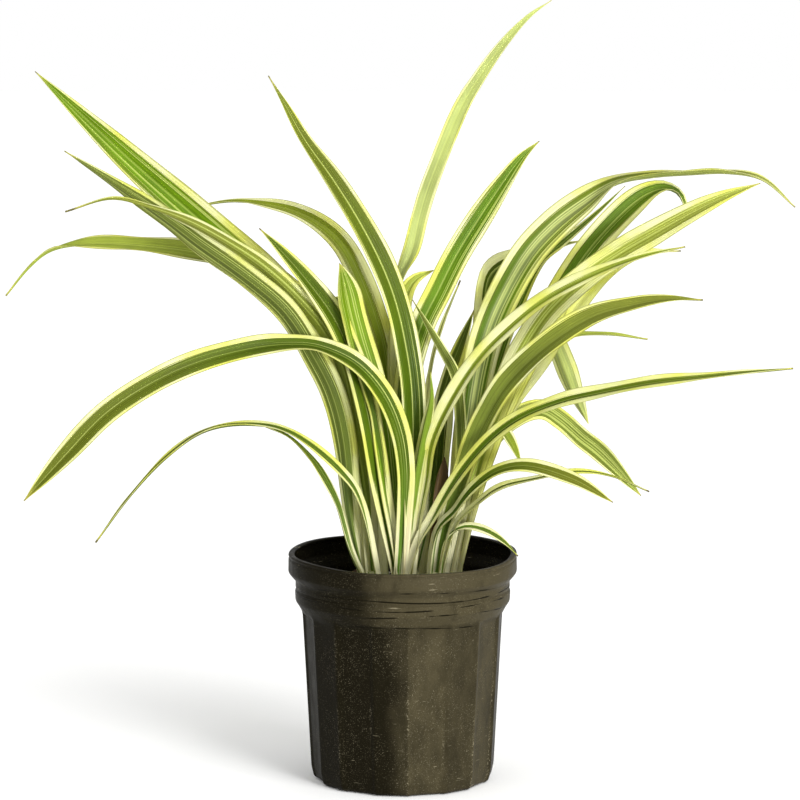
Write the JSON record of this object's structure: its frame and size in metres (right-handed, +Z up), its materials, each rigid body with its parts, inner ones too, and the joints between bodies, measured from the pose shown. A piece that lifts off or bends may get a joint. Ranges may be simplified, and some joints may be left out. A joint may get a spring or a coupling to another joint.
{
  "type": "potted strap-leaved foliage plant",
  "caption": "Potted flax lily: fans of long, arching, cream-edged green strap leaves over dark potting mix in a black plastic nursery pot with a rolled lip and a fluted, tapering wall",
  "frame": {"origin": "the middle of the flat sole that the pot stands on", "axes": "+Z is up along the pot's axis; the foliage spreads widest along X; -Y is the side seen in the picture"},
  "size_m": [0.5729, 0.3166, 0.5599],
  "materials": {
    "pot": "satin",
    "mix": "matte",
    "leaf": "satin"
  },
  "bodies": {
    "root": {"nursery_pot": "pot", "potting_mix": "mix", "fan_left": "leaf", "fan_centre": "leaf", "fan_back": "leaf", "fan_right_front": "leaf", "fan_right": "leaf", "fan_right_back": "leaf"}
  },
  "joints": []
}
